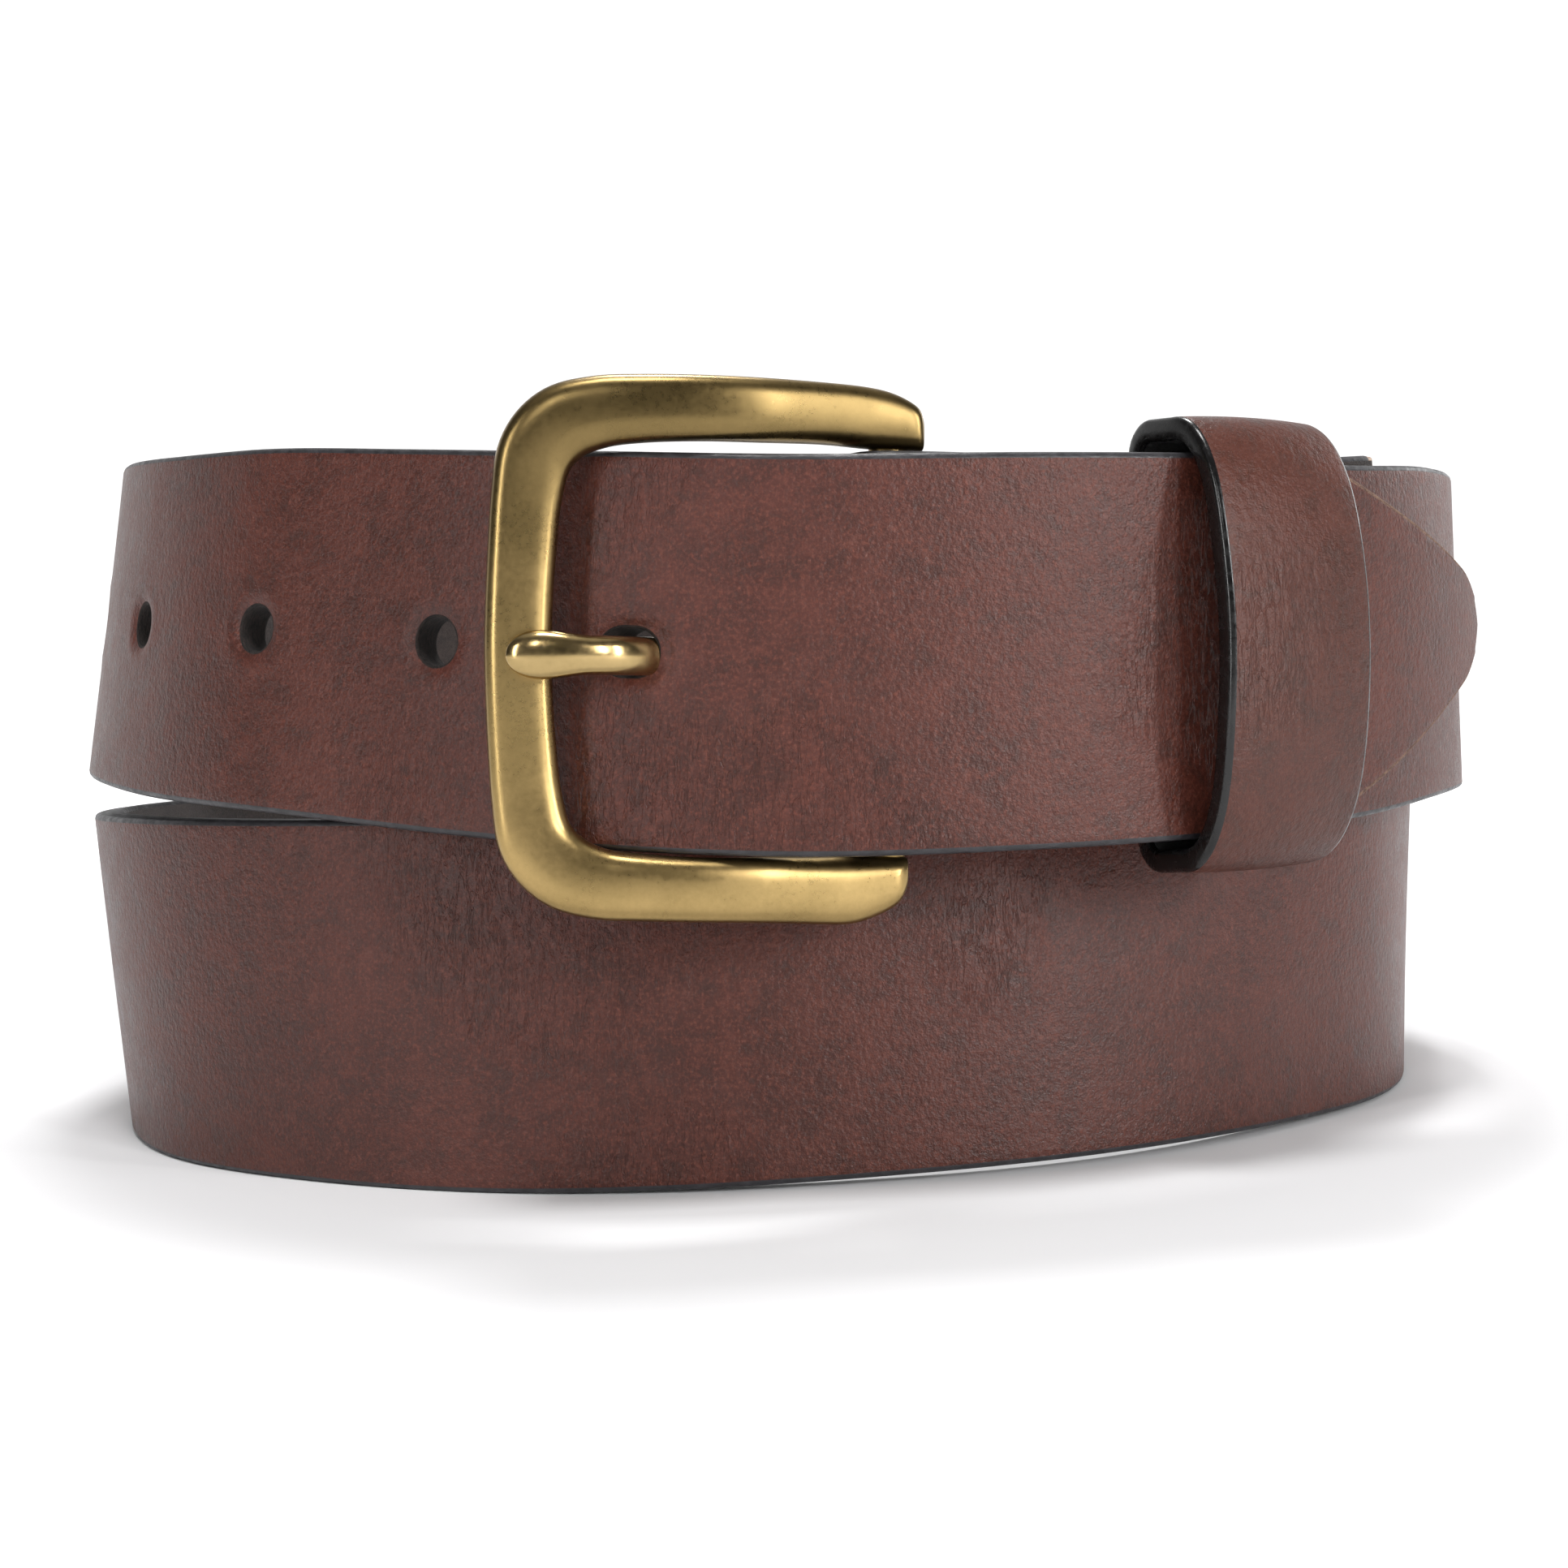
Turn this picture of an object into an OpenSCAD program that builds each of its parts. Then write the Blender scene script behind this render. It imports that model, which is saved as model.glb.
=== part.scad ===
// A leather belt, buckled and coiled twice round, standing on its edge.
// Origin: centre of the coil on the surface it stands on. +Z up, -Y towards the buckle, +X towards the tail's tip.
// Millimetres and degrees.

/* [Strap] */
// Width of the strap
strap_w = 38.1; // [37.5:0.1:38.2]
// Thickness of the strap's leather
strap_t = 3.5; // [3.2:0.1:3.5]
// Thickness of the leather where it is thinned for the fold
fold_t = 2.4; // [2.2:0.1:2.4]
// Bevel on the strap's edges
edge_bevel = 0.6; // [0.3:0.1:0.7]
// Diameter of the punched holes
hole_d = 4.8; // [4:0.1:5]
// Winding angle from one hole to the next
hole_step = 17.1; // [15:0.1:17.5]
// Length of the tail's tapered flanks
tip_flank = 40; // [35:1:42]

/* [Buckle] */
// Height of the frame over all
frame_h = 51.6; // [51.4:0.1:52.4]
// Height of the frame's top and bottom bars
frame_bar_h = 5.9; // [5.4:0.1:5.9]
// Width of the frame's front bar
frame_front_w = 6.6; // [6:0.1:7]
// Radius of the heel bar that the strap is folded round
heel_r = 1.9; // [1.8:0.05:1.9]
// Thickness of the frame's bars, front to back
frame_deep = 4.6; // [4.2:0.1:4.6]
// Width of the prong's shank
prong_w = 3.7; // [3.4:0.1:3.9]

/* [Keeper] */
// Width of the keeper along the strap
keeper_w = 17.5; // [16:0.5:18]
// Height of the keeper over all
keeper_h = 45.6; // [45.4:0.1:46]
// Thickness of the keeper's leather
keeper_t = 2.3; // [2.2:0.05:2.4]

/* [Snaps] */
// Diameter of the snaps' caps
cap_d = 11; // [10:0.5:11.5]
// Diameter of the snaps' barrels
barrel_d = 3.6; // [3.2:0.1:3.8]

/* [Hidden] */

// The strap's route, wound outwards-in from the tip: winding angle (0 is the front, 90 the left side),
// radius of the leather's middle, height of its lower edge, and lean of its upper edge outwards in degrees.
ROUTE = [
    [-76, 86.8, 36.9, 0.5], [-60, 84.8, 36.1, 1], [-45, 83.9, 34.8, 1], [-15, 83.9, 33.8, 1],
    [0, 83.9, 34, 0], [12, 83.2, 35, -1], [24, 82.2, 36.5, -2.5], [40, 81.2, 38.6, -5],
    [56, 82, 40, -7], [75, 84, 41.8, -8.5], [90, 85.2, 42.5, -8], [110, 83, 40.5, -5.5],
    [130, 79, 36, -3], [160, 76, 26.5, 0], [190, 75, 17, 1.5], [220, 77, 8, 3],
    [245, 79.5, 2, 4], [265, 78.4, -0.1, 3.8], [280, 76, -0.1, 2.8], [295, 73.8, 0.2, 1],
    [310, 71, 0.5, -0.8], [325, 69.5, 0.7, -2.5], [340, 69.3, 0.7, -3], [355, 70.2, 0.5, -3],
    [370, 73, 0.2, -2], [385, 76.5, -0.1, -0.5], [400, 80, -0.1, 0.5], [415, 83.2, -0.1, 1.5],
    [430, 84.4, -0.1, 4], [445, 84.8, -0.1, 6], [465, 85.4, -0.1, 6.5], [490, 85, 1.5, 4.5],
    [520, 83, 8, 1.5], [550, 82, 17, 0], [580, 84.5, 26, -1], [605, 86, 30.8, -1.5],
    [625, 84.3, 34.2, -1.4], [640, 82.7, 35.9, -1], [655, 81, 35.7, 0], [670, 79.9, 34.5, 0.5],
    [690, 79.9, 33.6, 0.3], [713, 79.9, 34.6, 0],
];
coil_x = 1.65;          // centre that the angles are measured round
coil_y = 2.71;
tip_a = -66.5;          // winding angle of the tail's apex
end_a = 713;            // winding angle where the fold begins
return_a = 660;         // winding angle of the return layer's cut end
thin_from = 648;        // the leather is thinned from here ...
thin_to = 672;          // ... to here
turn_step = 4.5;        // winding angle between two rings of the strap's surface
nose_half = 4.1;        // half-width of the tip's rounded nose
nose_len = 7;           // length of the nose's rounding
tip_steps = 12;         // rings along the tapered tip
hole_count = 5;
hole_a0 = 9.3;          // winding angle of the hole in use
hole_lean = 30;         // lean of the hole in use, pulled over by the prong
hole_worn = 0.4;        // the hole in use is wider by this
hole_drawn = 1.6;       // ... and drawn out along the strap by this
punch_h = 12;           // reach of the punch through the leather
thin = 0.001;
slot_w = 5.6;           // height of the prong's slot in the fold
slot_front = 13;        // reach of the slot from the heel bar along the outer layer
slot_back = 9;          // reach of the slot along the return layer
heel_play = 0.1;        // gap between heel bar and leather
floor_cut = 5;

keeper_a = 33;          // angle of the keeper's middle, round from the front towards the tip
keeper_back_r = 76;     // radius of the back face of the keeper's back wall
keeper_top_r = 83.4;    // radius where the keeper is highest
keeper_crown_r = 92.6;  // radius of the crown of its arch
keeper_z = 53.2;        // height of the keeper's middle
keeper_corner = 3.8;    // radius of the keeper's back corners
arch_power = 2.4;       // squareness of the arch, 2 is an ellipse
arch_steps = 20;
corner_steps = 5;
seam_gap = 0.2;         // gap between the keeper's butted ends
staple_h = 7;           // height of a staple's crown
staple_wire = 0.6;
staple_sink = 0.1;      // depth of the staples under the leather's faces
staple_a = 3.2;         // angle of each staple from the keeper's middle
hook_z = 0.8;           // distance of a staple's turned-in ends from the seam
hook_t = 0.4;           // thickness of the turned-in ends
staple_fit = 0.03;      // gap round the wire

snap_a = [17.3, 45.6];  // angles of the two snaps, round from the front towards the tip
snap_z = 53.4;          // height of the snaps
outer_face = 81.1;      // radius of the outer layer's outer face
outer_back = 78.7;      // radius of its inner face
return_face = 75.6;     // radius of the return layer's outer face
return_back = 73.2;     // radius of its inner face
seat = 0.12;            // depth of the flats pressed into the leather under the snaps
seat_room = 1;          // the flats are wider than the parts on them by this
over = 1;               // reach of the snaps' cuts past the leather's faces
cap_t = 0.9;            // height of a cap's domed head
cap_rim = 0.25;         // height of the head's rim
cap_sink = 0.5;         // depth to which the cap is pressed into the leather
wall = 0.6;             // wall of the snaps' pressed parts
socket_d = 10;          // diameter of the sockets
socket_t = 2;           // height of the sockets
stud_d = 9.6;           // diameter of the studs' bases
knob_d = 4.8;           // diameter of the studs' knobs
knob_t = 1.3;           // height of the knobs
rivet_d = 8.6;          // diameter of the rivets' flanges
eyelet_d = 2.6;         // diameter of the rivets' barrels
press = 0.02;           // gap between parts that are pressed together

corner_r = 7.2;         // radius of the frame's corners along the middle of its bars
front_x = 35.8;         // distance from the heel bar to the middle of the front bar
front_y = 3.5;          // distance of the front bar in front of the heel bar
heel_y = 0.8;           // distance of the bars' ends in front of the heel bar
bar_bow = 2.2;          // bow of the top and bottom bars
frame_drop = 0.3;       // distance of the frame's middle below the strap's
bar_end = 2.6;          // length of the rounded ends of the bars
bar_sides = 20;
prong_t = 2.6;          // thickness of the prong
prong_eye_r = 3.4;      // outer radius of the prong's eye
prong_eye_w = 4.4;      // height of the eye
prong_fit = 0.06;       // running gap between eye and heel bar
tip_w = 4.6;            // width of the prong's broad tip
// The prong's middle line: distance from the heel bar, and distance in front of it
PRONG = [[2, 0], [9, -0.3], [16.5, -0.3], [20, 0.5], [22.6, 2.7], [25, 5.1], [27.6, 6.8],
    [31, 7.5], [34.5, 7.35], [38.2, 6.8]];
facets = 48;

// Cubic interpolation through a column of the route at a winding angle.
last_row = len(ROUTE) - 1;
function span(i) = ROUTE[i + 1][0] - ROUTE[i][0];
function rate(i, c) = (ROUTE[i + 1][c] - ROUTE[i][c]) / span(i);
function knot_rate(i, c) =
    i == 0 ? rate(0, c) :
    i == last_row ? rate(last_row - 1, c) :
    (rate(i - 1, c) * span(i) + rate(i, c) * span(i - 1)) / (span(i) + span(i - 1));
function row_at(a, i = 0) = i >= last_row - 1 || a < ROUTE[i + 1][0] ? i : row_at(a, i + 1);
function cubic(i, c, t) =
    (2 * t ^ 3 - 3 * t ^ 2 + 1) * ROUTE[i][c] + (t ^ 3 - 2 * t ^ 2 + t) * span(i) * knot_rate(i, c)
    + (3 * t ^ 2 - 2 * t ^ 3) * ROUTE[i + 1][c] + (t ^ 3 - t ^ 2) * span(i) * knot_rate(i + 1, c);
function along(a, c) = let (i = row_at(a)) cubic(i, c, (a - ROUTE[i][0]) / span(i));

// The strap's middle line, and the directions along it, across its width and out of its face.
function unit(v) = v / norm(v);
function lean(a) = along(a, 3);
function rise(a) = strap_w / 2 * cos(lean(a)) + strap_t / 2 * abs(sin(lean(a)));
function middle(a) =
    let (r = along(a, 1))
    [coil_x - r * sin(a), coil_y - r * cos(a), along(a, 2) + rise(a)];
function forward(a) = unit(middle(a + 0.5) - middle(a - 0.5));
function out_flat(a) = let (f = forward(a)) unit([-f.y, f.x, 0]);
function across(a) =
    let (f = forward(a), w = [0, 0, cos(lean(a))] + out_flat(a) * sin(lean(a)))
    unit(w - (w * f) * f);
function outward(a) = cross(across(a), forward(a));
function mix(p, q, t) = p + (q - p) * min(1, max(0, t));
function thickness(a) = mix(strap_t, fold_t, (a - thin_from) / (thin_to - thin_from));

// A ring of the strap's surface: eight points round a bevelled cross-section.
function ring(mid, w, n, half, t) =
    let (b = min(edge_bevel, half / 2, t / 3), h = half, d = t / 2)
    [for (p = [[d, h - b], [d - b, h], [b - d, h], [-d, h - b], [-d, b - h], [b - d, -h], [d - b, -h], [d, b - h]])
        mid + n * p.x + w * p.y];
function route_ring(a, half) = ring(middle(a), across(a), outward(a), half, thickness(a));

// The tail's half-width at a distance from its apex.
function flank(d) = nose_half + (strap_w / 2 - nose_half) * d / tip_flank;
function tip_half(d) =
    min(strap_w / 2, flank(d)) * sqrt(1 - (1 - min(1, (d + 0.15) / nose_len)) ^ 2);
deg_per_mm = 180 / (PI * 85);
function tip_dist(i) = tip_flank * (i / tip_steps) ^ 1.6;
tip_rings = [for (i = [0:tip_steps]) route_ring(tip_a + tip_dist(i) * deg_per_mm, tip_half(tip_dist(i)))];
tail_a = tip_a + tip_flank * deg_per_mm;
turn_count = ceil((end_a - tail_a) / turn_step);
turn_rings = [for (i = [1:turn_count]) route_ring(tail_a + (end_a - tail_a) * i / turn_count, strap_w / 2)];

// The fold: half a circle round the heel bar, in the directions of the strap's end.
end_f = forward(end_a - 1);
end_w = across(end_a - 1);
end_n = outward(end_a - 1);
fold_r = heel_r + heel_play + fold_t / 2;
heel_pos = middle(end_a) - end_n * fold_r;
fold_steps = 12;
fold_rings = [for (i = [1:fold_steps]) let (g = 180 * i / fold_steps, n = end_n * cos(g) + end_f * sin(g))
    ring(heel_pos + n * fold_r, end_w, n, strap_w / 2, fold_t)];

// The return layer: back along the inside of the outer layer, with room for the keeper's back wall.
// Its cut end bends out towards the outer layer, and stands a little higher.
return_gap = 3.1;       // gap between the two layers
return_ease = 10;       // winding angle over which the gap of the fold narrows to it
return_bend = 672;      // winding angle where the end starts to bend out
return_out = 1.6;       // distance the cut end is bent out
return_climb = 1.5;     // height the cut end stands above the outer layer
return_steps = 18;
function ease(t) = let (k = min(1, max(0, t))) k * k * (3 - 2 * k);
function return_ring(i) =
    let (a = end_a - 1 - (end_a - 1 - return_a) * i / return_steps,
         deep = mix(2 * fold_r, fold_t + return_gap, ease((end_a - 1 - a) / return_ease))
             - return_out * ease((return_bend - a) / (return_bend - return_a)))
    ring(middle(a) - outward(a) * deep + across(a) * return_climb * i / return_steps,
        across(a), -outward(a), strap_w / 2, fold_t);
return_rings = [for (i = [1:return_steps]) return_ring(i)];

strap_rings = concat(tip_rings, turn_rings, fold_rings, return_rings);
ring_n = 8;
ring_last = len(strap_rings) - 1;
strap_points = [for (r = strap_rings) for (p = r) p];
strap_faces = concat(
    [[for (k = [0:ring_n - 1]) k]],
    [[for (k = [0:ring_n - 1]) ring_last * ring_n + ring_n - 1 - k]],
    [for (i = [0:ring_last - 1]) for (k = [0:ring_n - 1]) for (s = [0, 1])
        let (k2 = (k + 1) % ring_n, a = i * ring_n + k, b = i * ring_n + k2)
        s == 0 ? [a, a + ring_n, b + ring_n] : [a, b + ring_n, b]]);

// Places children with their X along f, Y along n and Z along w, at a point.
module place(pos, f, n, w) {
    multmatrix([[f.x, n.x, w.x, pos.x], [f.y, n.y, w.y, pos.y], [f.z, n.z, w.z, pos.z], [0, 0, 0, 1]])
        children();
}

// The buckle's own axes: X from the heel bar to the front bar, Y out of the belt, Z up the heel bar.
module on_heel() {
    place(heel_pos, end_f, end_n, end_w) children();
}

// A punch through the strap at a winding angle, for a hole of diameter d drawn out along the strap by long.
// Its outer end leans away from the tip by tilt.
module punch(a, tilt, d, long) {
    place(middle(a), forward(a), outward(a), across(a)) rotate([0, 0, -tilt]) {
        for (x = [-long / 2, long / 2]) translate([x, 0, 0]) rotate([90, 0, 0])
            cylinder(h = punch_h, d = d, center = true, $fn = facets);
        cube([long + thin, punch_h, d], center = true);
    }
}

// Places children with their X along the radius, at an angle round from the front towards the tip.
module at_angle(a) {
    translate([coil_x, coil_y, 0]) rotate([0, 0, a - 90]) children();
}

// Places children on a snap's axis, with Z outwards along the radius.
module at_snap(a) {
    at_angle(a) translate([0, 0, snap_z]) rotate([0, 90, 0]) children();
}

// The oblong slot through the fold, where the prong's eye sits on the heel bar.
module prong_slot() {
    on_heel() {
        for (y = [fold_r, -fold_r]) translate([y > 0 ? -slot_front : -slot_back, y, 0])
            rotate([90, 0, 0]) cylinder(h = 2 * fold_t, d = slot_w, center = true, $fn = facets);
        translate([-slot_front, fold_r - fold_t, -slot_w / 2]) cube([slot_front, 2 * fold_t, slot_w]);
        translate([-slot_back, -fold_r - fold_t, -slot_w / 2]) cube([slot_back, 2 * fold_t, slot_w]);
        translate([0, -2 * fold_r, -slot_w / 2]) cube([2 * fold_r, 4 * fold_r, slot_w]);
    }
}

// A round cut on a snap's axis, from low upwards.
module bore(low, h, d) {
    translate([0, 0, low]) cylinder(h = h, d = d, $fn = facets);
}

module strap() {
    color([0.33, 0.17, 0.14])
    difference() {
        polyhedron(points = strap_points, faces = strap_faces, convexity = 12);
        translate([-150, -150, -floor_cut]) cube([300, 300, floor_cut]);
        for (i = [1:hole_count - 1]) punch(hole_a0 + i * hole_step, 0, hole_d, 0);
        punch(hole_a0, hole_lean, hole_d + hole_worn, hole_drawn);
        prong_slot();
        for (a = snap_a) at_snap(a) {
            bore(outer_back - over, outer_face - outer_back + 2 * over, barrel_d);
            bore(outer_face - cap_sink, 2 * over, cap_d + 2 * press);
            bore(outer_back + seat - over, over, socket_d + seat_room);
            bore(return_back - over, return_face - return_back + 2 * over, eyelet_d);
            bore(return_back + seat - 2 * over, 2 * over, rivet_d + seat_room);
            bore(return_face - seat, over, stud_d + seat_room);
        }
    }
}

// A closed tube of rings with the same number of points, each ring a list of points.
module tube(rings) {
    n = len(rings[0]);
    last = len(rings) - 1;
    polyhedron(
        points = [for (r = rings) for (p = r) p],
        faces = concat(
            [[for (k = [0:n - 1]) k]],
            [[for (k = [0:n - 1]) last * n + n - 1 - k]],
            [for (i = [0:last - 1]) for (k = [0:n - 1]) for (s = [0, 1])
                let (k2 = (k + 1) % n, a = i * n + k, b = i * n + k2)
                s == 0 ? [a, a + n, b + n] : [a, b + n, b]]),
        convexity = 6);
}

// An oval ring of n points: half-sizes p along u and q along v.
function oval(mid, u, v, p, q, n) =
    [for (k = [0:n - 1]) let (g = 360 * k / n) mid + u * p * cos(g) + v * q * sin(g)];

// The middle line of the frame's bars, from the top bar's end round the front bar to the bottom bar's end.
bar_z = (frame_h - frame_bar_h) / 2;
function bar_y(x) = mix(heel_y, front_y, x / front_x) + bar_bow * sin(180 * min(1, max(0, x / front_x)));
frame_line = concat(
    [for (x = [0, 0.35, 0.9, 1.6, 2.6]) [x - bar_end, bar_z]],
    [for (x = [2:3:front_x - corner_r - 1]) [x, bar_z]],
    [for (g = [90:-10:0]) [front_x - corner_r + corner_r * cos(g), bar_z - corner_r + corner_r * sin(g)]],
    [for (z = [12, 8, 4]) [front_x, z]]);
frame_path = concat(frame_line, [[front_x, 0]],
    [for (i = [len(frame_line) - 1:-1:0]) [frame_line[i].x, -frame_line[i].y]]);
function frame_dir(i) =
    let (n = len(frame_path) - 1, p = frame_path[max(0, i - 1)], q = frame_path[min(n, i + 1)])
    unit(q - p);
function end_round(x) = sqrt(max(0.02, 1 - (1 - min(1, max(0, (x + bar_end) / bar_end))) ^ 2));
function bar_half(z) = mix(frame_front_w, frame_bar_h, (abs(z) - 10) / 10) / 2;
frame_rings = [for (i = [0:len(frame_path) - 1])
    let (p = frame_path[i], d = frame_dir(i), k = end_round(p.x), side = [d.y, 0, -d.x])
    oval([p.x, bar_y(p.x), p.y], side, [0, 1, 0], bar_half(p.y) * k, frame_deep / 2 * k, bar_sides)];

module buckle_frame() {
    color([0.55, 0.47, 0.26])
    on_heel() {
        translate([0, 0, -frame_drop]) tube(frame_rings);
        cylinder(h = 2 * bar_z, r = heel_r, center = true, $fn = facets);
    }
}

// The prong: an eye round the heel bar, and a bent shank with a broad, rounded tip.
prong_last = len(PRONG) - 1;
prong_cuts = 4;
function prong_at(t) =
    let (i = min(prong_last - 1, floor(t)), f = t - i,
         p0 = PRONG[max(0, i - 1)], p1 = PRONG[i], p2 = PRONG[i + 1], p3 = PRONG[min(prong_last, i + 2)])
    (p1 * 2 + (p2 - p0) * f + (p0 * 2 - p1 * 5 + p2 * 4 - p3) * f ^ 2 + (p1 * 3 - p0 - p2 * 3 + p3) * f ^ 3) / 2;
function prong_half(x) = mix(prong_w, tip_w, (x - 29) / 5) / 2;
function prong_round(x) = sqrt(max(0.03, 1 - max(0, (x - 35.6) / 2.7) ^ 2));
prong_rings = [for (j = [0:prong_last * prong_cuts])
    let (t = j / prong_cuts, p = prong_at(t), d = unit(prong_at(min(prong_last, t + 0.1)) - prong_at(max(0, t - 0.1))))
    oval([p.x, p.y, 0], [0, 0, -1], [-d.y, d.x, 0], prong_half(p.x) * prong_round(p.x),
        prong_t / 2 * prong_round(p.x), bar_sides)];

module prong() {
    color([0.62, 0.53, 0.31])
    on_heel()
        difference() {
            union() {
                tube(prong_rings);
                cylinder(h = prong_eye_w, r = prong_eye_r, center = true, $fn = facets);
            }
            cylinder(h = 4 * prong_eye_w, r = heel_r + prong_fit, center = true, $fn = facets);
        }
}

// The keeper's outline inset by i: a flat back with round corners, and an arched front.
function arch(g, i) = [
    keeper_top_r + (keeper_crown_r - keeper_top_r - i) * cos(g) ^ (2 / arch_power),
    sign(g) * (keeper_h / 2 - i) * abs(sin(g)) ^ (2 / arch_power)];
function back_corner(g, i) =
    let (r = keeper_corner - i)
    [keeper_back_r + i + r + r * cos(g), keeper_h / 2 - i - r + r * sin(g)];
function keeper_outline(i) = concat(
    [for (k = [-arch_steps:arch_steps]) arch(90 * k / arch_steps, i)],
    [for (k = [0:corner_steps]) back_corner(90 + 90 * k / corner_steps, i)],
    [for (k = [corner_steps:-1:0]) let (p = back_corner(90 + 90 * k / corner_steps, i)) [p.x, -p.y]]);
keeper_half_a = keeper_w / 2 / keeper_top_r * 180 / PI;

// Two staples across the keeper's seam: crown towards the strap, legs through the leather, ends turned in.
module staples(gap) {
    w = staple_wire + 2 * gap;
    low = keeper_back_r + staple_sink;
    high = keeper_back_r + keeper_t - staple_sink;
    for (a = [-staple_a, staple_a]) at_angle(keeper_a + a) translate([0, 0, keeper_z]) {
        translate([high - staple_wire - gap, -w / 2, -staple_h / 2 - gap]) cube([w, w, staple_h + 2 * gap]);
        for (s = [-1, 1]) translate([low - gap, -w / 2, s * (staple_h - staple_wire) / 2 - w / 2])
            cube([high - low + 2 * gap, w, w]);
        for (s = [0, 1]) mirror([0, 0, s]) translate([low - gap, -w / 2, hook_z - gap])
            cube([hook_t + 2 * gap, w, staple_h / 2 - hook_z + 2 * gap]);
    }
}

module keeper() {
    color([0.36, 0.19, 0.15])
    difference() {
        at_angle(keeper_a - keeper_half_a) translate([0, 0, keeper_z])
            rotate_extrude(angle = 2 * keeper_half_a, $fn = 2 * facets)
                difference() {
                    polygon(keeper_outline(0));
                    polygon(keeper_outline(keeper_t));
                }
        at_angle(keeper_a) translate([keeper_back_r - 1, -keeper_w, keeper_z - seam_gap / 2])
            cube([keeper_t + 2, 2 * keeper_w, seam_gap]);
        staples(staple_fit);
    }
}

module keeper_staples() {
    color([0.6, 0.6, 0.62]) staples(0);
}

// The snaps, drawn with Z outwards along their own axis.
module ring_disc(low, h, r_out, r_in) {
    translate([0, 0, low]) difference() {
        cylinder(h = h, r = r_out, $fn = facets);
        translate([0, 0, -1]) cylinder(h = h + 2, r = r_in, $fn = facets);
    }
}

socket_top = outer_back + seat;
cavity_top = socket_top - wall;
stud_low = return_face - seat;

// Half of a cap's section: a domed head, and a barrel flared at its foot.
module cap_section() {
    low = outer_face - cap_sink;
    foot = cavity_top - wall / 2;
    polygon(concat(
        [for (g = [0:15:90]) [cap_d / 2 * cos(g), low + cap_rim + (cap_t - cap_rim) * sin(g)]],
        [[0, low], [barrel_d / 2 - wall, low], [barrel_d / 2 - wall, foot], [barrel_d / 2 + wall / 2, foot],
            [barrel_d / 2 + wall / 2, cavity_top - press], [barrel_d / 2 - press, cavity_top - press],
            [barrel_d / 2 - press, low], [cap_d / 2, low]]));
}

module snap_caps() {
    color([0.5, 0.43, 0.25])
    for (a = snap_a) at_snap(a) rotate_extrude($fn = facets) cap_section();
}

module snap_sockets() {
    color([0.6, 0.55, 0.38])
    for (a = snap_a) at_snap(a) {
        ring_disc(cavity_top, wall, socket_d / 2, barrel_d / 2);
        ring_disc(socket_top - socket_t, socket_t - wall, socket_d / 2, knob_d / 2 + press);
    }
}

module snap_studs() {
    color([0.6, 0.55, 0.38])
    for (a = snap_a) at_snap(a) {
        ring_disc(stud_low, wall, stud_d / 2, eyelet_d / 2);
        ring_disc(stud_low + wall, knob_t, knob_d / 2, eyelet_d / 2);
    }
}

module snap_rivets() {
    color([0.5, 0.43, 0.25])
    for (a = snap_a) at_snap(a) {
        ring_disc(return_back + seat - wall, wall, rivet_d / 2, eyelet_d / 2 - wall);
        ring_disc(return_back + seat, stud_low + wall + knob_t - return_back - seat,
            eyelet_d / 2 - press, eyelet_d / 2 - wall);
    }
}

strap();
buckle_frame();
prong();
keeper();
keeper_staples();
snap_caps();
snap_sockets();
snap_studs();
snap_rivets();
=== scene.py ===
"""Looks of a leather belt, buckled and coiled twice round, standing on its edge."""
import math

import bmesh
import bpy
import numpy as np
from mathutils import Matrix


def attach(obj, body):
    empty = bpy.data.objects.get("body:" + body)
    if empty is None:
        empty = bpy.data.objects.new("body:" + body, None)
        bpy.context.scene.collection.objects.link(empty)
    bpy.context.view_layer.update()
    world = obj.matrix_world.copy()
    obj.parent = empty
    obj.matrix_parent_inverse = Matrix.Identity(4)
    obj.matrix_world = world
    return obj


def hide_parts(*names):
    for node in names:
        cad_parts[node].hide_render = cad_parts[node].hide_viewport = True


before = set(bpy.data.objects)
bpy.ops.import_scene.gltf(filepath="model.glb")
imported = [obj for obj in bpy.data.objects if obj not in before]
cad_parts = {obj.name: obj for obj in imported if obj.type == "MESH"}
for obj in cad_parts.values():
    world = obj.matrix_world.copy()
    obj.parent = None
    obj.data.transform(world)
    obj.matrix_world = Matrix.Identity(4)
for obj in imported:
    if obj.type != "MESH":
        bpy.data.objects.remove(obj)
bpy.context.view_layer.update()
MM = 0.001

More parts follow.
